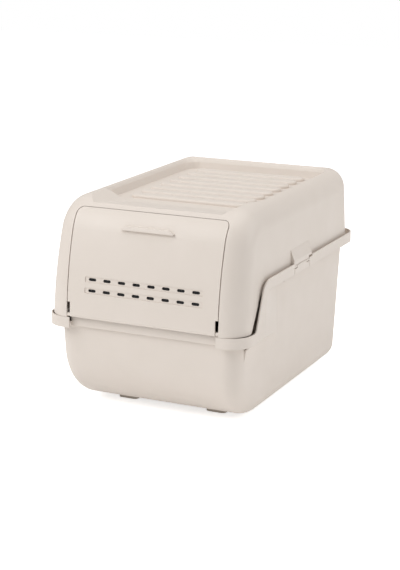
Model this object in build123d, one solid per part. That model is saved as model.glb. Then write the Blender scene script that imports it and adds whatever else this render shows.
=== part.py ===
from build123d import *
import math
import os

# Hooded cat litter box, millimetres. +Z is up, the door faces -Y, and the origin is on the floor
# under the middle of the box. Every shell is injection-moulded polypropylene.

# ---- overall sizes ----
WIDTH = 400.0            # across the tray's rim band
DEPTH = 554.0            # front to back over the rim band
HEIGHT = 393.0           # floor to the hood's top rails
WALL = 2.4               # moulded wall of the tray, hood and door
DRAFT = 1.9              # degrees, side walls of tray and hood

# ---- tray ----
FLOOR_GAP = 9.0          # underside of the tray above the floor
RIM_LOW = 182.0          # top of the rim at the front corners
RIM_HIGH = 267.0         # top of the rim along the sides and the back
RIM_STEP_START = 53.0    # front of the box to the foot of the rim's step
RIM_STEP_RUN = 38.0      # length of the sloping part of the step
RIM_STEP_FOOT = 10.0     # radius at the foot of the step
RIM_STEP_HEAD = 35.0     # radius at the head of the step
BAND_HEIGHT = 20.0       # skirt that hangs from the rim
BAND_WALL = 2.4
BAND_RADIUS = 40.0       # plan corners of the rim band
SHELF_DROP = 9.0         # ledge that carries the hood, below the rim's top
TRAY_INSET = 15.0        # rim band to tray wall at the sides
TRAY_FRONT_INSET = 14.5  # rim band to tray wall at the front
TRAY_BACK_INSET = 20.0
TRAY_FRONT_RAKE = 8.0    # the front wall leans in by this much towards the floor
TRAY_BACK_RAKE = 17.0
SCOOP_RADIUS = 105.0     # big curve between front wall and floor
TRAY_RADIUS = 32.0       # other rounded edges of the tray
LIP_SHORT = 4.0          # end of the low lip to the middle of the gap beside the door
LIP_SETBACK = 11.0       # face of the lip behind the front of the box
LIP_HEIGHT = 17.5
LIP_LEAN = 2.0           # its face leans back by this much towards the top
CHEEK_DROP = 82.0        # the flared cheek's foot, in the tray wall this far below the low rim
CHEEK_MIDDLE_DROP = 32.0     # where it stands out of the tray wall by its bulge
CHEEK_BULGE = 5.0
CHEEK_ROOT = 1.5         # its foot starts this deep in the tray wall
CHEEK_SWEEP = 1.5        # power that its bulge grows with, in these steps
CHEEK_STEPS = 4
CHEEK_TOP_DROP = 17.0    # where it is flush with the rim band
CHEEK_FRONT = 45.0       # front of the box to the cheek's open front edge
CHEEK_FADE_START = 95.0  # front of the box to where the cheek starts to die out backwards
CHEEK_FADE_RUN = 90.0

# ---- hood ----
HOOD_INSET = 5.0         # rim band to hood wall at the level of the low rim
HOOD_BACK_INSET = 8.0
HOOD_BACK_RAKE = 7.0
HOOD_RADIUS = 42.0       # rounded side edges
BROW_RADIUS = 75.0       # front to top
NAPE_RADIUS = 24.0       # back to top
FACE_BULGE = 10.5        # how far the curved front stands out of its chord
FACE_LEAN = 48.6         # how far the front leans back over its height
HOOD_FIT = 0.4           # gap under the hood's edge
STEP_GAP = 11.0          # gap between hood and tray at the foot of the rim's step
PANEL_HALF = 147.0       # half width of the sunk roof panel at its floor
PANEL_DEPTH = 21.5       # depth of that panel
PANEL_FRONT = 150.0      # front of the box to the front of the flat panel
PANEL_BACK = 50.0        # back of the box to the end of the flat panel
PANEL_CORNER = 26.0      # plan corners of the panel
PANEL_WALL = (13.0, 16.0)    # height and slope of the panel's wall, then its two rolled steps
PANEL_ROLL = ((4.5, 40.0), (4.0, 62.0))
RAMP_RUN = 87.0          # length of the slope from the brow down to the flat panel
RAMP_HALF = 104.0        # half width of its floor
RAMP_LEAD = 9.0          # depth of its front end below the top
RAMP_FLARE = 62.0        # degrees, lean of its sides
RAMP_BEND = 60.0         # rounding where it meets the flat and its own sides
RIB_PITCH = 39.2
RIB_WIDTH = 27.0
RIB_HEIGHT = 6.0
RIB_HALF = 117.0
RIB_FRONT_GAP = 46.0     # front of the flat panel to the middle of the first rib
RIB_BACK_GAP = 33.6      # back of the flat panel to the middle of the last rib

# ---- door ----
DOOR_HALF = 150.0        # middle of the gap at each side of the door
DOOR_DROP = 16.0         # middle of the gap over the door, below the top rails
DOOR_GAP = 1.8           # at its sides
DOOR_TOP_GAP = 0.8
DOOR_CORNER = 11.0       # radius of its top corners
DOOR_ZONE = 65.0         # front of the box to the deepest point the door may reach
REBATE = 7.0             # strip of the hood behind the door's edge
REBATE_GAP = 1.2
BEAD_RADIUS = 4.2        # rolled lower edge of the door, centred on the hinge axis
HINGE_RISE = 4.7         # hinge axis above the low rim
HINGE_SETBACK = 4.6      # hinge axis behind the front of the box
PIN_RADIUS = 2.4
PIN_COLLAR = 3.6
PIN_BOSS = 5.0           # radius of the boss that holds the pin in the pillar
PIN_SIDE_PLAY = 0.35
PIN_LENGTH = 24.0        # in the door and in the pillar together
PIN_FIT = 0.06           # radial running clearance
NOTCH_WIDTH = 5.0
NOTCH_TOP = 29.0         # top of the hinge notch above the low rim
PULL_HALF = 52.0
PULL_TAPER = 10.0        # how much shorter its top edge is at each end
PULL_DROP = 44.0         # its free edge below the top rails
PULL_RISE = 5.6          # height of its face
PULL_TIP = 24.5          # front of the box to the pull's free edge
PULL_LEAN = 2.0          # its face leans in by this much towards the top
PULL_THICK = 1.6
SLOTS = 8
VENT_MARGIN = 32.8       # end of the row of slots to the middle of the gap beside the door
VENT_SHIFT = 2.0         # the rows sit off the middle of the door by this much
SLOT_LENGTH = 15.0
SLOT_HEIGHT = 5.4
SLOT_RISES = (52.8, 72.8)    # rows of slots above the low rim
STRIP_HEIGHT = 10.2
STRIP_DEPTH = 1.3

# ---- odour filter behind the slots ----
FILTER_LAP = 2.8         # the filter reaches past the ends of the rows by this much
FILTER_HEIGHT = 44.0
FILTER_THICK = 6.0
HOLDER_WALL = 2.0
HOLDER_FIT = 0.4
HOLDER_BARS = 7
HOLDER_OFFSET = 0.8      # holder behind the inside of the door
FILTER_CORNER = 4.0
EAR_SIZE = 10.0          # clip ears of the holder
CLIP_RADIUS = 2.2

# ---- side latches ----
LATCH_MIDDLE = -15.0     # along the side, from the middle of the box
LATCH_LENGTH = 72.0
LATCH_PLAY = 0.8
LATCH_PLATE = 3.0
LATCH_BARREL = 2.6
LATCH_PIN = 1.2
LATCH_PIN_FIT = 0.05
LATCH_AXIS_DROP = 6.6    # latch hinge below the top of the rim
LATCH_KNUCKLE = 12.0
PAD_HEIGHT = 16.0        # raised pad of the hood over the latch, up to where it slopes in
PAD_TAIL = 14.0          # the pad runs on behind the latch, over the rim band
PAD_TAIL_GAP = 0.6
PAD_TAIL_NOTCH = 3.5     # depth of the notch in the rim band under that tail
PAD_INSET = 1.0          # its face behind the face of the rim band

HOLLOW_RADIUS = 18.0     # finger hollow in the tray wall ahead of the latch
HOLLOW_DEPTH = 6.0
HOLLOW_AHEAD = 12.0

# ---- feet ----
FOOT_X = 91.0
FOOT_FRONT = 129.0       # front of the box to the front feet
FOOT_BACK = 110.0        # back of the box to the back feet
FOOT_LENGTH = 40.0
FOOT_DEPTH = 26.0
FOOT_SOCKET = 1.5        # how deep a foot sits in the tray's floor
FOOT_FIT = 0.05
FOOT_CORNER = 8.0
FOOT_NAMES = ("foot_front_left", "foot_back_left", "foot_front_right", "foot_back_right")

# ---- derived places ----
HALF_W = WIDTH / 2
FRONT = -DEPTH / 2
BACK = DEPTH / 2
STEP_ANGLE = math.atan2(RIM_HIGH - RIM_LOW, RIM_STEP_RUN)
STEP_FOOT_Y = FRONT + RIM_STEP_START
STEP_HEAD_Y = STEP_FOOT_Y + RIM_STEP_RUN
HINGE_Y = FRONT + HINGE_SETBACK
HINGE_Z = RIM_LOW + HINGE_RISE
DEEP = 2 * DEPTH         # longer than anything it has to cut
CHEEK_LOW = RIM_LOW - CHEEK_DROP
CHEEK_MIDDLE = RIM_LOW - CHEEK_MIDDLE_DROP
CHEEK_HIGH = RIM_LOW - CHEEK_TOP_DROP
LIP_HALF = DOOR_HALF - LIP_SHORT
DOOR_TOP = HEIGHT - DOOR_DROP
PULL_HEIGHT = HEIGHT - PULL_DROP
PULL_TOP = PULL_HEIGHT + PULL_RISE
SLOT_ROWS = [RIM_LOW + rise for rise in SLOT_RISES]
VENT_LENGTH = 2 * (DOOR_HALF - VENT_MARGIN)
SLOT_PITCH = VENT_LENGTH / SLOTS
FILTER_LENGTH = VENT_LENGTH + 2 * FILTER_LAP
HOOD_HALF = HALF_W - HOOD_INSET
TRAY_HALF = HALF_W - TRAY_INSET
LATCH_X = HALF_W - LATCH_BARREL
LATCH_Z = RIM_HIGH - LATCH_AXIS_DROP


def prism(outline):
    """Solid with the given side view (Y, Z), as wide as needed."""
    return extrude(Plane.YZ * make_face(outline), amount=WIDTH, both=True)


def rounded_corners(points, radii):
    """Closed outline through points, with a radius at each corner (0 leaves it sharp)."""
    face = make_face(Polyline(*points, close=True))
    for point, radius in zip(points, radii):
        if radius > 0:
            corner = face.vertices().sort_by_distance(Vector(*point))[0]
            face = fillet(corner, radius)
    return face.wire()


def drafted_slab(half_width, z_level, low, high, lean=DRAFT):
    """Endless slab with leaning sides; half_width holds at z_level, a positive lean narrows upwards."""
    slope = math.tan(math.radians(lean))
    bottom = half_width + (z_level - low) * slope
    top = half_width + (z_level - high) * slope
    outline = Polyline((-bottom, low), (bottom, low), (top, high), (-top, high), close=True)
    return extrude(Plane.XZ * make_face(outline), amount=DEEP, both=True)


def side_edges(solid, cut_levels):
    """Edges round the two big side faces, without those on the open ends."""
    picked = []
    for face in solid.faces():
        if abs(face.normal_at().X) > 0.9:
            for edge in face.edges():
                heights = [v.Z for v in edge.vertices()]
                if not any(all(abs(h - z) < 0.01 for h in heights) for z in cut_levels):
                    picked.append(edge)
    return picked


def across_x(x, y, z, radius, length):
    """Cylinder along X, centred at the place given."""
    return Pos(x, y, z) * Rot(0, 90, 0) * Cylinder(radius, length)


def along_y(x, y, z, radius, length):
    """Cylinder along Y, centred at the place given."""
    return Pos(x, y, z) * Rot(90, 0, 0) * Cylinder(radius, length)


# ---- rim line shared by the tray and the hood ----

def below_line(foot, head, foot_radius, head_radius):
    """Everything below a line that runs level, climbs from foot to head and runs level again."""
    points = [(FRONT - WIDTH, foot[1]), foot, head, (BACK + WIDTH, head[1]),
              (BACK + WIDTH, -WIDTH), (FRONT - WIDTH, -WIDTH)]
    return prism(rounded_corners(points, [0, foot_radius, head_radius, 0, 0, 0]))


def below_rim(drop):
    """Everything below the rim line, lowered square to itself by drop."""
    shift = drop * math.tan(STEP_ANGLE / 2)
    return below_line((STEP_FOOT_Y + shift, RIM_LOW - drop), (STEP_HEAD_Y + shift, RIM_HIGH - drop),
                      RIM_STEP_FOOT + drop, RIM_STEP_HEAD - drop)


def below_hood():
    """Everything below the hood's edge: it stands on the low rim and on the shelf."""
    shift = SHELF_DROP * math.tan(STEP_ANGLE / 2)
    return below_line((STEP_FOOT_Y - STEP_GAP, RIM_LOW + HOOD_FIT),
                      (STEP_HEAD_Y + shift, RIM_HIGH - SHELF_DROP + HOOD_FIT),
                      RIM_STEP_FOOT, RIM_STEP_HEAD - SHELF_DROP)


def plan_block(inset, low, high):
    """Upright block with the rim band's plan, inset all round."""
    plan = RectangleRounded(WIDTH - 2 * inset, DEPTH - 2 * inset, BAND_RADIUS - inset)
    return Pos(0, 0, low) * extrude(plan, high - low)


# ---- tray ----

def tray_body(inset):
    """Deep pan: upright walls, scooped front, rounded back and sides; inset gives its inside."""
    low = FLOOR_GAP + inset
    front_top = FRONT + TRAY_FRONT_INSET + inset
    back_top = BACK - TRAY_BACK_INSET - inset
    points = [(front_top, RIM_HIGH), (front_top + TRAY_FRONT_RAKE, low),
              (back_top - TRAY_BACK_RAKE, low), (back_top, RIM_HIGH)]
    outline = rounded_corners(points, [0, SCOOP_RADIUS - inset, TRAY_RADIUS - inset, 0])
    pan = prism(outline) & drafted_slab(TRAY_HALF - inset, RIM_HIGH, 0, RIM_HIGH, lean=-DRAFT)
    return fillet(side_edges(pan, [RIM_HIGH]), TRAY_RADIUS - inset)


def cheek(inset):
    """Flared skirt under the step of the rim, from the tray wall out to the rim band (right side)."""
    drop = RIM_HIGH - CHEEK_LOW
    half = TRAY_HALF - drop * math.tan(math.radians(DRAFT)) - inset
    front = -FRONT - TRAY_FRONT_INSET - TRAY_FRONT_RAKE * drop / (RIM_HIGH - FLOOR_GAP) - inset
    plans = []
    for step in range(CHEEK_STEPS + 1):
        share = step / CHEEK_STEPS
        z = CHEEK_LOW + share * (CHEEK_MIDDLE - CHEEK_LOW)
        bulge = (CHEEK_BULGE + CHEEK_ROOT) * share ** CHEEK_SWEEP - CHEEK_ROOT
        plans.append(Pos(0, 0, z) * RectangleRounded(2 * (half + bulge), 2 * (front + bulge),
                                                     TRAY_RADIUS - inset + bulge))
    plans.append(Pos(0, 0, CHEEK_HIGH) * RectangleRounded(WIDTH - 2 * inset, DEPTH - 2 * inset,
                                                          BAND_RADIUS - inset))
    flare = loft(plans, ruled=True) + plan_block(inset, CHEEK_HIGH, HEIGHT)
    start = FRONT + CHEEK_FRONT
    fade = FRONT + CHEEK_FADE_START
    side = HALF_W - inset
    zone = [(0, start), (side, start), (side, fade), (TRAY_HALF - WALL - inset, fade + CHEEK_FADE_RUN),
            (0, fade + CHEEK_FADE_RUN)]
    return flare & extrude(make_face(Polyline(*zone, close=True)), amount=HEIGHT)


def lip_zone():
    """Stretch between the two front corners where the rim band is left out."""
    return Pos(0, FRONT, RIM_LOW) * Box(2 * LIP_HALF, 2 * TRAY_FRONT_INSET - 5, 4 * BAND_HEIGHT)


def front_lip():
    """Low sill between the corners; its face leans back a little."""
    back = FRONT + TRAY_FRONT_INSET + WALL
    face = FRONT + LIP_SETBACK
    top = RIM_LOW - HOOD_FIT
    low = top - LIP_HEIGHT
    sill = prism(Polyline((back, low), (face, low), (face + LIP_LEAN, top), (back, top), close=True))
    return sill & Box(2 * LIP_HALF + 2 * BAND_WALL, 2 * DEEP, 2 * DEEP)


def latch_windows():
    """Openings in the rim band that the latches fill."""
    length = LATCH_LENGTH + 2 * LATCH_PLAY
    depth = 2 * LATCH_BARREL + HOOD_FIT
    window = Box(2 * depth, length, 2 * (BAND_HEIGHT + LATCH_PLAY))
    right = Pos(HALF_W, LATCH_MIDDLE, RIM_HIGH) * window
    tail = LATCH_MIDDLE + (length + PAD_TAIL) / 2
    right += Pos(HALF_W, tail, RIM_HIGH) * Box(2 * BAND_WALL + 1, PAD_TAIL, 2 * PAD_TAIL_NOTCH)
    return right + mirror(right, about=Plane.YZ)


def foot_places():
    return [Pos(x, y, 0) for x in (-FOOT_X, FOOT_X) for y in (FRONT + FOOT_FRONT, BACK - FOOT_BACK)]


def foot(grow):
    """Non-slip foot; grown by its fit it is also the socket in the tray."""
    shape = RectangleRounded(FOOT_LENGTH + 2 * grow, FOOT_DEPTH + 2 * grow, FOOT_CORNER + grow)
    return extrude(shape, FLOOR_GAP + FOOT_SOCKET)


def finger_hollow(grow):
    """Dish in the tray wall under the band, where a finger reaches the latch."""
    y = LATCH_MIDDLE - LATCH_LENGTH / 2 - HOLLOW_AHEAD
    z = RIM_HIGH - BAND_HEIGHT
    right = Pos(TRAY_HALF + HOLLOW_RADIUS - HOLLOW_DEPTH, y, z) * Sphere(HOLLOW_RADIUS + grow)
    return right + mirror(right, about=Plane.YZ)


def make_tray():
    inside = tray_body(WALL) - finger_hollow(WALL)
    pan = (tray_body(0) & below_rim(SHELF_DROP)) - finger_hollow(0) - inside
    ring = plan_block(0, 0, HEIGHT) - plan_block(BAND_WALL, 0, HEIGHT)
    band = (below_rim(0) - below_rim(BAND_HEIGHT)) & ring
    shelf = (below_rim(SHELF_DROP) - below_rim(SHELF_DROP + WALL)) & plan_block(1, 0, HEIGHT)
    shelf -= inside
    shelf -= Pos(0, (STEP_FOOT_Y + STEP_HEAD_Y) / 2, 0) * Box(DEEP, RIM_STEP_RUN, DEEP)
    skirt = ((cheek(0) - cheek(BAND_WALL)) & below_rim(SHELF_DROP)) - inside
    tray = pan + (band + shelf - lip_zone() - latch_windows()) + front_lip()
    tray += skirt + mirror(skirt, about=Plane.YZ)
    for place in foot_places():
        tray -= place * foot(FOOT_FIT)
    return tray


# ---- hood ----

def face_outline(inset):
    """Side view of the hood: curved front, brow, flat top, nape and back."""
    top = HEIGHT - inset
    foot_point = (FRONT + inset, RIM_LOW)
    head_point = (FRONT + FACE_LEAN + inset, top)
    middle = ((foot_point[0] + head_point[0]) / 2 - FACE_BULGE, (RIM_LOW + top) / 2)
    back = BACK - HOOD_BACK_INSET - inset
    back_head = (back - HOOD_BACK_RAKE, top)
    face = make_face([ThreePointArc(foot_point, middle, head_point), Line(head_point, back_head),
                      Line(back_head, (back, RIM_LOW)), Line((back, RIM_LOW), foot_point)])
    for point, radius in ((head_point, BROW_RADIUS), (back_head, NAPE_RADIUS)):
        corner = face.vertices().sort_by_distance(Vector(*point))[0]
        face = fillet(corner, radius - inset)
    return face


def hood_body(inset):
    """Hood's outer form, or its inside when inset by the wall."""
    form = extrude(Plane.YZ * face_outline(inset), amount=WIDTH, both=True)
    form &= drafted_slab(HOOD_HALF - inset, RIM_LOW, RIM_LOW, HEIGHT)
    return fillet(side_edges(form, [RIM_LOW]), HOOD_RADIUS - inset)


def panel_well(grow):
    """Sunk panel: a rounded rectangle whose wall rolls outwards in steps towards the rails."""
    low = HEIGHT - PANEL_DEPTH - grow
    half = PANEL_HALF + grow
    front = FRONT + PANEL_FRONT - grow
    back = BACK - PANEL_BACK + grow
    radius = PANEL_CORNER + grow
    well = None
    for rise, slope in (PANEL_WALL, *PANEL_ROLL):
        plan = Pos(0, (front + back) / 2, low) * RectangleRounded(2 * half, back - front, radius)
        top = grow if (rise, slope) == PANEL_ROLL[-1] else 0
        layer = extrude(plan, amount=rise + top, taper=-slope)
        well = layer if well is None else well + layer
        spread = rise * math.tan(math.radians(slope))
        half, front, back, radius = half + spread, front - spread, back + spread, radius + spread
        low += rise
    return well


def panel_ramp(grow):
    """Soft slope from the brow down to the panel."""
    floor = HEIGHT - PANEL_DEPTH - grow
    end = FRONT + PANEL_FRONT
    long_way = [(end - RAMP_RUN, HEIGHT - RAMP_LEAD - grow), (end, floor), (end + PANEL_CORNER * 2, floor),
                (end + PANEL_CORNER * 2, HEIGHT), (end - RAMP_RUN, HEIGHT)]
    rise = PANEL_DEPTH + grow
    spread = rise * math.tan(math.radians(RAMP_FLARE))
    across = Polyline((-RAMP_HALF, floor), (RAMP_HALF, floor), (RAMP_HALF + spread, HEIGHT),
                      (-RAMP_HALF - spread, HEIGHT), close=True)
    trough = make_face(across)
    trough = fillet(trough.vertices().group_by(Axis.Y)[0], RAMP_BEND)
    trough = extrude(Plane.XZ * trough, amount=DEEP, both=True)
    return prism(rounded_corners(long_way, [0, RAMP_BEND, 0, 0, 0])) & trough


def roof_panel(grow):
    """Space over the sunk roof; grown by the wall it shapes the inside as well."""
    return panel_well(grow) + panel_ramp(grow)


def roof_ribs():
    """Rounded bars that stiffen the roof panel."""
    bar = Box(2 * RIB_HALF, RIB_WIDTH, 2 * RIB_HEIGHT)
    bar = fillet(bar.edges().filter_by(Axis.Z), RIB_WIDTH / 2 - 1)
    bar = fillet(bar.faces().sort_by(Axis.Z)[-1].edges(), RIB_HEIGHT - 1.5)
    first = FRONT + PANEL_FRONT + RIB_FRONT_GAP
    room = BACK - PANEL_BACK - RIB_BACK_GAP - first
    ribs = 1 + round(room / RIB_PITCH)
    return [Pos(0, first + i * RIB_PITCH, HEIGHT - PANEL_DEPTH) * bar for i in range(ribs)]


def door_zone(shrink, top_shrink):
    """Block in front that the door fills; the margins are left at its sides and at its top."""
    half = DOOR_HALF - shrink
    top = DOOR_TOP - top_shrink
    low = RIM_LOW - BAND_HEIGHT
    face = Pos(0, (top + low) / 2) * Rectangle(2 * half, top - low)
    face = fillet(face.vertices().group_by(Axis.Y)[-1], DOOR_CORNER - shrink)
    block = extrude(Plane.XZ * face, amount=DEEP, both=True)
    return block & Pos(0, FRONT, 0) * Box(WIDTH, 2 * DOOR_ZONE, DEEP)


def door_opening():
    return door_zone(-DOOR_GAP / 2, -DOOR_TOP_GAP / 2)


def door_rebate():
    """Strip behind the door's edges that the door closes against."""
    seat = WALL + REBATE_GAP
    strip = (hood_body(WALL - 0.5) - hood_body(seat + WALL)) & door_zone(-WALL, -WALL)
    strip -= door_zone(REBATE, REBATE)
    strip -= (hood_body(0) - hood_body(seat)) & door_opening()
    return strip & Pos(0, 0, RIM_LOW + NOTCH_TOP) * Box(DEEP, DEEP, DEEP, align=(Align.CENTER,
                                                        Align.CENTER, Align.MIN))


def right_pad():
    """Raised pad over the right latch, with the two outer knuckles of the latch's hinge."""
    low = LATCH_Z + LATCH_BARREL + LATCH_PLAY
    reach = HALF_W - PAD_INSET
    root = HOOD_HALF - 2 * WALL
    pad = None
    for start, end, bottom in ((-LATCH_LENGTH / 2, LATCH_LENGTH / 2, low),
                               (0, LATCH_LENGTH / 2 + PAD_TAIL, RIM_HIGH + PAD_TAIL_GAP)):
        side = Polyline((root, bottom), (reach, bottom), (reach, low + PAD_HEIGHT / 2),
                        (root, low + 2 * PAD_HEIGHT), close=True)
        piece = Pos(0, LATCH_MIDDLE + end, 0) * extrude(Plane.XZ * make_face(side), amount=end - start)
        pad = piece if pad is None else pad + piece
    for end in (-1, 1):
        y = LATCH_MIDDLE + end * (LATCH_LENGTH - LATCH_KNUCKLE) / 2
        pad += along_y(LATCH_X, y, LATCH_Z, LATCH_BARREL, LATCH_KNUCKLE)
        pad += Pos(LATCH_X, y, low) * Box(2 * LATCH_PIN, LATCH_KNUCKLE, 2 * LATCH_BARREL)
    return pad


def pin_boss():
    """Boss in the right pillar that grips the door's hinge pin."""
    length = PIN_LENGTH / 2
    start = DOOR_HALF + DOOR_GAP / 2
    boss = across_x(start + length / 2, HINGE_Y, HINGE_Z, PIN_BOSS, length)
    boss += Pos(start + length / 2, HINGE_Y, HINGE_Z + PIN_BOSS) * Box(length, 2 * PIN_BOSS,
                                                                        2 * PIN_BOSS)
    return boss & hood_body(0)


def make_hood():
    inside = hood_body(WALL) - roof_panel(WALL)
    hood = hood_body(0) - roof_panel(0) - inside
    hood += roof_ribs()
    hood -= door_opening()
    hood += door_rebate()
    for part in (pin_boss(), right_pad() - inside):
        hood += part + mirror(part, about=Plane.YZ)
    hood -= below_hood() - latch_room()
    bores = across_x(DOOR_HALF, HINGE_Y, HINGE_Z, PIN_RADIUS, PIN_LENGTH + DOOR_GAP)
    bores += along_y(LATCH_X, LATCH_MIDDLE, LATCH_Z, LATCH_PIN, 2 * LATCH_LENGTH)
    return hood - bores - mirror(bores, about=Plane.YZ)


def latch_room():
    """Space of the latch hinges, which hang below the hood's edge."""
    right = Pos(LATCH_X, LATCH_MIDDLE, RIM_HIGH) * Box(2 * LATCH_BARREL + 1, LATCH_LENGTH + 1,
                                                      4 * LATCH_AXIS_DROP)
    return right + mirror(right, about=Plane.YZ)


# ---- door ----

def door_pull():
    """Pull: a flared ledge that grows out of the door and hangs over the fingers."""
    tip = FRONT + PULL_TIP
    root = FRONT + DOOR_ZONE
    low = PULL_HEIGHT - PULL_THICK
    side = Polyline((root, PULL_TOP), (tip + PULL_LEAN, PULL_TOP), (tip, PULL_HEIGHT), (tip, low),
                    (tip + PULL_LEAN, low), (root, low + PULL_LEAN), close=True)
    front = Polyline((-PULL_HALF, low), (PULL_HALF, low), (PULL_HALF, PULL_HEIGHT),
                     (PULL_HALF - PULL_TAPER, PULL_TOP), (-PULL_HALF + PULL_TAPER, PULL_TOP),
                     (-PULL_HALF, PULL_HEIGHT), close=True)
    return prism(side) & extrude(Plane.XZ * make_face(front), amount=DEEP, both=True)


def vent_strip(z):
    face = Pos(VENT_SHIFT, z) * RectangleRounded(VENT_LENGTH, STRIP_HEIGHT, STRIP_HEIGHT / 4)
    return extrude(Plane.XZ * face, amount=DEEP, both=True) & Pos(0, FRONT, 0) * Box(
        WIDTH, 2 * DOOR_ZONE, DEEP)


def vent_slots(z):
    slots = []
    for i in range(SLOTS):
        x = VENT_SHIFT + (i - (SLOTS - 1) / 2) * SLOT_PITCH
        face = Pos(x, z) * SlotOverall(SLOT_LENGTH, SLOT_HEIGHT)
        slots.append(Pos(0, FRONT, 0) * extrude(Plane.XZ * face, amount=DOOR_ZONE, both=True))
    return slots


def make_door():
    skin = hood_body(0) - hood_body(WALL)
    zone = door_zone(DOOR_GAP / 2, DOOR_TOP_GAP / 2)
    above = Pos(0, 0, HINGE_Z) * Box(DEEP, DEEP, DEEP, align=(Align.CENTER, Align.CENTER, Align.MIN))
    door = skin & zone & above
    door += door_pull() - hood_body(WALL)
    length = 2 * DOOR_HALF - DOOR_GAP
    door += across_x(0, HINGE_Y, HINGE_Z, BEAD_RADIUS, length)
    for z in SLOT_ROWS:
        door -= vent_strip(z) & (hood_body(0) - hood_body(STRIP_DEPTH))
        door -= vent_slots(z)
    notch_x = DOOR_HALF - DOOR_GAP / 2 - NOTCH_WIDTH / 2
    for side in (-1, 1):
        door -= Pos(side * notch_x, HINGE_Y, RIM_LOW) * Box(NOTCH_WIDTH, DOOR_ZONE, 2 * NOTCH_TOP)
        door -= across_x(side * notch_x, HINGE_Y, HINGE_Z, PIN_RADIUS + PIN_FIT, PIN_LENGTH + NOTCH_WIDTH)
    return door


def make_hinge_pin():
    """Headed pin: pressed into the pillar, free in the door's rolled edge (right side)."""
    start = DOOR_HALF + DOOR_GAP / 2
    pin = across_x(start, HINGE_Y, HINGE_Z, PIN_RADIUS, PIN_LENGTH)
    collar = NOTCH_WIDTH + DOOR_GAP - 2 * PIN_SIDE_PLAY
    return pin + across_x(start - collar / 2, HINGE_Y, HINGE_Z, PIN_COLLAR, collar)


# ---- odour filter ----

def filter_plane():
    """Plane on the inside of the door, between the two rows of slots."""
    z = sum(SLOT_ROWS) / len(SLOT_ROWS)
    edge = face_outline(WALL).edges().filter_by(GeomType.CIRCLE).sort_by(Axis.Z)[0]
    low, high = 0.0, 1.0
    for _ in range(40):
        middle = (low + high) / 2
        rising = edge.position_at(1).Y > edge.position_at(0).Y
        below = edge.position_at(middle).Y < z
        low, high = (middle, high) if below == rising else (low, middle)
    point = edge.position_at(low)
    along = edge.tangent_at(low)
    along = along if along.Y > 0 else along * -1
    return Plane(origin=(0, point.X, point.Y), x_dir=(1, 0, 0), z_dir=(0, -along.Y, along.X))


def make_filter():
    """Odour filter pad; it lies a little behind the slots."""
    where = filter_plane()
    middle = HOLDER_OFFSET + FILTER_THICK / 2
    pad = Box(FILTER_LENGTH, FILTER_HEIGHT, FILTER_THICK)
    return where * Pos(0, 0, -middle) * fillet(pad.edges().filter_by(Axis.Z), FILTER_CORNER)


def make_filter_holder():
    """Shallow frame with bars that keeps the filter behind the slots."""
    where = filter_plane()
    length = FILTER_LENGTH + 2 * (HOLDER_FIT + HOLDER_WALL)
    height = FILTER_HEIGHT + 2 * (HOLDER_FIT + HOLDER_WALL)
    thick = FILTER_THICK + HOLDER_FIT + HOLDER_WALL
    frame = Box(length, height, thick)
    frame = Pos(0, 0, -HOLDER_OFFSET - thick / 2) * frame
    hollow = Box(length - 2 * HOLDER_WALL, height - 2 * HOLDER_WALL, thick)
    frame -= Pos(0, 0, -HOLDER_OFFSET - thick / 2 + HOLDER_WALL) * hollow
    bay = (length - 2 * HOLDER_WALL - (HOLDER_BARS + 1) * 2 * HOLDER_WALL) / HOLDER_BARS
    for i in range(HOLDER_BARS):
        x = (i - (HOLDER_BARS - 1) / 2) * (bay + 2 * HOLDER_WALL)
        frame -= Pos(x, 0, 0) * Box(bay, FILTER_HEIGHT - 4 * HOLDER_WALL, 8 * thick)
    for place in clip_places():
        frame += place * Pos(0, 0, -HOLDER_OFFSET - HOLDER_WALL / 2) * Box(
            EAR_SIZE, EAR_SIZE, HOLDER_WALL)
        frame -= place * Cylinder(CLIP_RADIUS, 8 * thick)
    return where * frame


def clip_places():
    """Centres of the four clip posts, in the filter's plane."""
    x = FILTER_LENGTH / 2 + HOLDER_FIT + HOLDER_WALL + EAR_SIZE / 2 - 1
    y = FILTER_HEIGHT / 2 - EAR_SIZE / 2
    return [Pos(sx * x, sy * y, 0) for sx in (-1, 1) for sy in (-1, 1)]


def clip_posts():
    """Posts on the inside of the door that the filter holder snaps on."""
    reach = HOLDER_OFFSET + 2 * HOLDER_WALL
    post = Pos(0, 0, -reach / 2 + WALL / 4) * Cylinder(CLIP_RADIUS, reach + WALL / 2)
    return [filter_plane() * place * post for place in clip_places()]


# ---- side latches (right side) ----

def make_latch():
    """Flap in the line of the rim band, hinged at its top edge on the hood."""
    length = LATCH_LENGTH - 2 * LATCH_PLAY
    middle = length - 2 * (LATCH_KNUCKLE + LATCH_PLAY)
    bottom = RIM_HIGH - BAND_HEIGHT
    flap = Pos(HALF_W - LATCH_PLATE / 2, LATCH_MIDDLE, (bottom + LATCH_Z) / 2) * Box(
        LATCH_PLATE, length, LATCH_Z - bottom)
    for end in (-1, 1):
        y = LATCH_MIDDLE + end * (length / 2)
        reach = 2 * (LATCH_KNUCKLE + LATCH_PLAY)
        flap -= Pos(HALF_W, y, LATCH_Z) * Box(4 * LATCH_PLATE, reach, 2 * (LATCH_BARREL + LATCH_PLAY))
    flap += along_y(LATCH_X, LATCH_MIDDLE, LATCH_Z, LATCH_BARREL, middle)
    return flap - along_y(LATCH_X, LATCH_MIDDLE, LATCH_Z, LATCH_PIN + LATCH_PIN_FIT, 2 * length)


def make_latch_pin():
    return along_y(LATCH_X, LATCH_MIDDLE, LATCH_Z, LATCH_PIN, LATCH_LENGTH)


def write(name, shape):
    shape.label = name
    export_step(shape, f"parts/{name}.step")


def write_pair(name, right):
    """A right-hand piece and its mirror image."""
    write(name + "_right", right)
    write(name + "_left", mirror(right, about=Plane.YZ))


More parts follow.
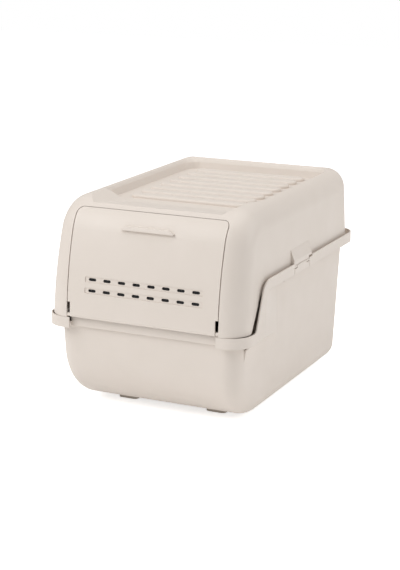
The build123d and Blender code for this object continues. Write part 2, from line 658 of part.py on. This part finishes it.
if __name__ == "__main__":
    os.makedirs("parts", exist_ok=True)
    write("tray", make_tray())
    write("hood", make_hood())
    write("front_door", make_door() + clip_posts())
    write("carbon_filter", make_filter())
    write("filter_holder", make_filter_holder())
    write_pair("hinge_pin", make_hinge_pin())
    write_pair("side_latch", make_latch())
    write_pair("latch_pin", make_latch_pin())
    for place, name in zip(foot_places(), FOOT_NAMES):
        write(name, place * foot(0))
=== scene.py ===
import math

import bpy
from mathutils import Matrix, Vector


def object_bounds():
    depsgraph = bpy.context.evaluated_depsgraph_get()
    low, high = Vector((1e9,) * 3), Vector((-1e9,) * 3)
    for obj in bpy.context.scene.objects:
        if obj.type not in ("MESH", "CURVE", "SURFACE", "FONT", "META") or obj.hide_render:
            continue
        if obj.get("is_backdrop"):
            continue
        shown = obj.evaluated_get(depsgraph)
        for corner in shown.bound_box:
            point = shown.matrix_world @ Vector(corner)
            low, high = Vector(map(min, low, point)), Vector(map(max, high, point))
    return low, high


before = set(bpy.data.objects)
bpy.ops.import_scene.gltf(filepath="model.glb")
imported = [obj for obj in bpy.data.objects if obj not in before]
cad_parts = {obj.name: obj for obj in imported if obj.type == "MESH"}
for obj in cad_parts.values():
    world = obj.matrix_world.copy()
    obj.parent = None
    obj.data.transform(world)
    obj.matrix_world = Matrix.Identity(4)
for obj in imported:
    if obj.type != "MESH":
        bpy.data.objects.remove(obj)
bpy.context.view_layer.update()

# ---------------------------------------------------------------------------------------------
# Shells: tray, hood, door, filter holder, latches and pins.
# All are injection-moulded polypropylene from one pigmented batch, a warm greige. The moulds are
# finely spark-eroded, so the skin is satin, with a faint even grain and soft reflections.
# ---------------------------------------------------------------------------------------------
MM = 0.001
MIX_A, MIX_B, MIX_RESULT = 6, 7, 2    # the Mix node's colour sockets: two in, one out


def linear(hex_colour):
    """sRGB hex to the linear colour that Blender's nodes use."""
    parts = [int(hex_colour[i:i + 2], 16) / 255 for i in (1, 3, 5)]
    return [c / 12.92 if c <= 0.04045 else ((c + 0.055) / 1.055) ** 2.4 for c in parts] + [1.0]


def add_node(tree, kind, settings=None, links=None):
    """Adds a node; settings go to its sockets or properties, links are {socket: (node, socket)}."""
    node = tree.nodes.new(kind)
    for name, value in (settings or {}).items():
        if name in node.inputs:
            node.inputs[name].default_value = value
        else:
            setattr(node, name, value)
    for name, (source, output) in (links or {}).items():
        tree.links.new(source.outputs[output], node.inputs[name])
    return node


def blank_material(name):
    material = bpy.data.materials.new(name)
    material.use_nodes = True
    material.node_tree.nodes.clear()
    return material, material.node_tree


GREIGE = "#DDD3CA"
GREIGE_DEEP = "#D8CEC4"
CLOUD = 60 * MM                  # slow drift of pigment and gloss along the melt's flow
CLOUD_SPREAD = (0.3, 0.7)        # the part of the drift's range that it mostly stays in
SKIN_ROUGHNESS = (0.42, 0.5)
GRAIN = 0.9 * MM                 # the eroded skin is finer; drawn this coarse so that it shows
GRAIN_DEPTH = 0.1 * MM
GRAIN_STRENGTH = 0.12
POLYPROPYLENE_IOR = 1.49


def moulded_polypropylene():
    """Satin skin that softens every reflection, with a faint drift of colour and gloss."""
    material, tree = blank_material("moulded_polypropylene")
    coords = add_node(tree, "ShaderNodeTexCoord")
    cloud = add_node(tree, "ShaderNodeTexNoise", {"Scale": 1 / CLOUD, "Detail": 3.0},
                     {"Vector": (coords, "Object")})
    colour = add_node(tree, "ShaderNodeMix", {"data_type": "RGBA"}, {"Factor": (cloud, "Fac")})
    colour.inputs[MIX_A].default_value = linear(GREIGE)
    colour.inputs[MIX_B].default_value = linear(GREIGE_DEEP)
    gloss = add_node(tree, "ShaderNodeMapRange",
                     {"From Min": CLOUD_SPREAD[0], "From Max": CLOUD_SPREAD[1],
                      "To Min": SKIN_ROUGHNESS[0], "To Max": SKIN_ROUGHNESS[1]},
                     {"Value": (cloud, "Fac")})
    grain = add_node(tree, "ShaderNodeTexNoise", {"Scale": 1 / GRAIN, "Detail": 2.0},
                     {"Vector": (coords, "Object")})
    skin = add_node(tree, "ShaderNodeBump", {"Strength": GRAIN_STRENGTH, "Distance": GRAIN_DEPTH},
                    {"Height": (grain, "Fac")})
    shader = add_node(tree, "ShaderNodeBsdfPrincipled", {"IOR": POLYPROPYLENE_IOR},
                      {"Base Color": (colour, MIX_RESULT), "Roughness": (gloss, "Result"),
                       "Normal": (skin, "Normal")})
    add_node(tree, "ShaderNodeOutputMaterial", links={"Surface": (shader, "BSDF")})
    return material


SHELLS = ("tray", "hood", "front_door", "filter_holder", "hinge_pin_left", "hinge_pin_right",
          "side_latch_left", "side_latch_right", "latch_pin_left", "latch_pin_right")
polypropylene = moulded_polypropylene()
for name in SHELLS:
    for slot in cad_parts[name].material_slots:
        slot.material = polypropylene

# ---------------------------------------------------------------------------------------------
# Odour filter: a pad of needled felt loaded with activated carbon.
# It is cut from sheet and simply laid in its holder. Black, dusty and quite without gloss.
# ---------------------------------------------------------------------------------------------
FELT = "#1B1B1D"
FELT_DUST = "#2A2A2B"
FELT_ROUGHNESS = 0.95
FELT_IOR = 1.45
FIBRE = 1.2 * MM
NAP_DEPTH = 0.6 * MM
NAP_STRENGTH = 0.8


def carbon_felt():
    """Black with greyer fibre tips, and a coarse nap that breaks up the light."""
    material, tree = blank_material("carbon_felt")
    coords = add_node(tree, "ShaderNodeTexCoord")
    fibre = add_node(tree, "ShaderNodeTexNoise",
                     {"Scale": 1 / FIBRE, "Detail": 5.0, "Distortion": 1.5},
                     {"Vector": (coords, "Object")})
    colour = add_node(tree, "ShaderNodeMix", {"data_type": "RGBA"}, {"Factor": (fibre, "Fac")})
    colour.inputs[MIX_A].default_value = linear(FELT)
    colour.inputs[MIX_B].default_value = linear(FELT_DUST)
    nap = add_node(tree, "ShaderNodeBump", {"Strength": NAP_STRENGTH, "Distance": NAP_DEPTH},
                   {"Height": (fibre, "Fac")})
    shader = add_node(tree, "ShaderNodeBsdfPrincipled",
                      {"Roughness": FELT_ROUGHNESS, "IOR": FELT_IOR},
                      {"Base Color": (colour, MIX_RESULT), "Normal": (nap, "Normal")})
    add_node(tree, "ShaderNodeOutputMaterial", links={"Surface": (shader, "BSDF")})
    return material


felt = carbon_felt()
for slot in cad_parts["carbon_filter"].material_slots:
    slot.material = felt

# ---------------------------------------------------------------------------------------------
# Feet: thermoplastic elastomer pads pushed into sockets under the tray.
# Moulded in the shells' colour but softer: matt, a shade darker, finely pebbled.
# ---------------------------------------------------------------------------------------------
ELASTOMER = "#D2C8BD"
ELASTOMER_DEEP = "#C8BDB1"
ELASTOMER_ROUGHNESS = 0.75
ELASTOMER_IOR = 1.5
PEBBLE = 1.5 * MM
PEBBLE_DEPTH = 0.2 * MM
PEBBLE_STRENGTH = 0.4


def soft_elastomer():
    """Matt and rubbery, each pebble a little darker towards its edge."""
    material, tree = blank_material("soft_elastomer")
    coords = add_node(tree, "ShaderNodeTexCoord")
    pebble = add_node(tree, "ShaderNodeTexVoronoi", {"Scale": 1 / PEBBLE},
                      {"Vector": (coords, "Object")})
    colour = add_node(tree, "ShaderNodeMix", {"data_type": "RGBA"},
                      {"Factor": (pebble, "Distance")})
    colour.inputs[MIX_A].default_value = linear(ELASTOMER)
    colour.inputs[MIX_B].default_value = linear(ELASTOMER_DEEP)
    dimple = add_node(tree, "ShaderNodeBump",
                      {"Strength": PEBBLE_STRENGTH, "Distance": PEBBLE_DEPTH},
                      {"Height": (pebble, "Distance")})
    shader = add_node(tree, "ShaderNodeBsdfPrincipled",
                      {"Roughness": ELASTOMER_ROUGHNESS, "IOR": ELASTOMER_IOR},
                      {"Base Color": (colour, MIX_RESULT), "Normal": (dimple, "Normal")})
    add_node(tree, "ShaderNodeOutputMaterial", links={"Surface": (shader, "BSDF")})
    return material


elastomer = soft_elastomer()
for name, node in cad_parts.items():
    if name.startswith("foot_"):
        for slot in node.material_slots:
            slot.material = elastomer

# ---------------------------------------------------------------------------------------------
# Studio: a seamless pale floor and large soft lights.
# The floor and the air have two strengths each: weak as light on the object, and strong where
# the camera sees them, so that they stay white as if they were lit on their own.
# ---------------------------------------------------------------------------------------------
STUDIO_WHITE = "#FFFFFF"
FLOOR_SIZE = 12.0                # metres
FLOOR_ROUGHNESS = (0.85, 0.95)
FLOOR_PATCHES = 3.0              # patches of duller and glossier floor in a metre
FLOOR_GLOW = (0.1, 0.6)          # on the object, for the camera
AIR_LIGHT = (0.42, 1.0)          # on the object, for the camera


def studio_floor():
    material, tree = blank_material("studio_floor")
    coords = add_node(tree, "ShaderNodeTexCoord")
    mottle = add_node(tree, "ShaderNodeTexNoise", {"Scale": FLOOR_PATCHES},
                      {"Vector": (coords, "Object")})
    sheen = add_node(tree, "ShaderNodeMapRange",
                     {"To Min": FLOOR_ROUGHNESS[0], "To Max": FLOOR_ROUGHNESS[1]},
                     {"Value": (mottle, "Fac")})
    ray = add_node(tree, "ShaderNodeLightPath")
    glow = add_node(tree, "ShaderNodeMapRange", {"To Min": FLOOR_GLOW[0], "To Max": FLOOR_GLOW[1]},
                    {"Value": (ray, "Is Camera Ray")})
    shader = add_node(tree, "ShaderNodeBsdfPrincipled",
                      {"Base Color": linear(STUDIO_WHITE), "Emission Color": linear(STUDIO_WHITE)},
                      {"Roughness": (sheen, "Result"), "Emission Strength": (glow, "Result")})
    add_node(tree, "ShaderNodeOutputMaterial", links={"Surface": (shader, "BSDF")})
    bpy.ops.mesh.primitive_plane_add(size=FLOOR_SIZE)
    floor = bpy.context.object
    floor.name = "studio_floor"
    floor.data.materials.append(material)
    floor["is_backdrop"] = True


studio_floor()


def soft_light(name, stand, target, side, power):
    """Square soft box that stands at a point and faces the target."""
    lamp = bpy.data.lights.new(name, "AREA")
    lamp.size = side
    lamp.energy = power
    holder = bpy.data.objects.new(name, lamp)
    holder.location = stand
    aim = [t - s for t, s in zip(target, stand)]
    length = math.sqrt(sum(a * a for a in aim))
    tilt = math.acos(-aim[2] / length)
    turn = math.atan2(aim[1], aim[0]) - math.pi / 2
    holder.rotation_euler = (tilt, 0.0, turn)
    bpy.context.collection.objects.link(holder)


# name, where it stands and how wide it is in metres, power in watts
SOFT_LIGHTS = (("key", (-1.4, -2.0, 2.2), 2.0, 47),
               ("fill", (2.4, 0.9, 1.5), 1.8, 22),
               ("top", (0.0, 0.2, 2.8), 2.2, 24))
middle = [(low + high) / 2 for low, high in zip(*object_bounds())]
for name, stand, side, power in SOFT_LIGHTS:
    soft_light(name, stand, middle, side, power)


def studio_air():
    """White all round: bright where the camera sees it, weaker as light on the object."""
    world = bpy.data.worlds.new("studio_air")
    world.use_nodes = True
    tree = world.node_tree
    tree.nodes.clear()
    ray = add_node(tree, "ShaderNodeLightPath")
    strength = add_node(tree, "ShaderNodeMapRange",
                        {"To Min": AIR_LIGHT[0], "To Max": AIR_LIGHT[1]},
                        {"Value": (ray, "Is Camera Ray")})
    air = add_node(tree, "ShaderNodeBackground", {"Color": linear(STUDIO_WHITE)},
                   {"Strength": (strength, "Result")})
    add_node(tree, "ShaderNodeOutputWorld", links={"Surface": (air, "Background")})
    bpy.context.scene.world = world


studio_air()
bpy.context.scene.view_settings.view_transform = "Standard"

# ---------------------------------------------------------------------------------------------
# Camera: stands to the right of the door and a little above the roof, with a long lens that
# keeps the box's sides nearly parallel.
# ---------------------------------------------------------------------------------------------
CAMERA_PLACE = (1.1988, -2.5322, 0.9374)
CAMERA_TURN = 25.64              # degrees to the right of the door
CAMERA_DIP = 14.89               # degrees below level
LENS = 95.27                     # mm, on a sensor 36 mm wide
SENSOR = 36.0

lens = bpy.data.cameras.new("camera")
lens.sensor_width = SENSOR
lens.lens = LENS
camera = bpy.data.objects.new("camera", lens)
camera.location = CAMERA_PLACE
camera.rotation_euler = (math.radians(90 - CAMERA_DIP), 0.0, math.radians(CAMERA_TURN))
bpy.context.collection.objects.link(camera)
bpy.context.scene.camera = camera
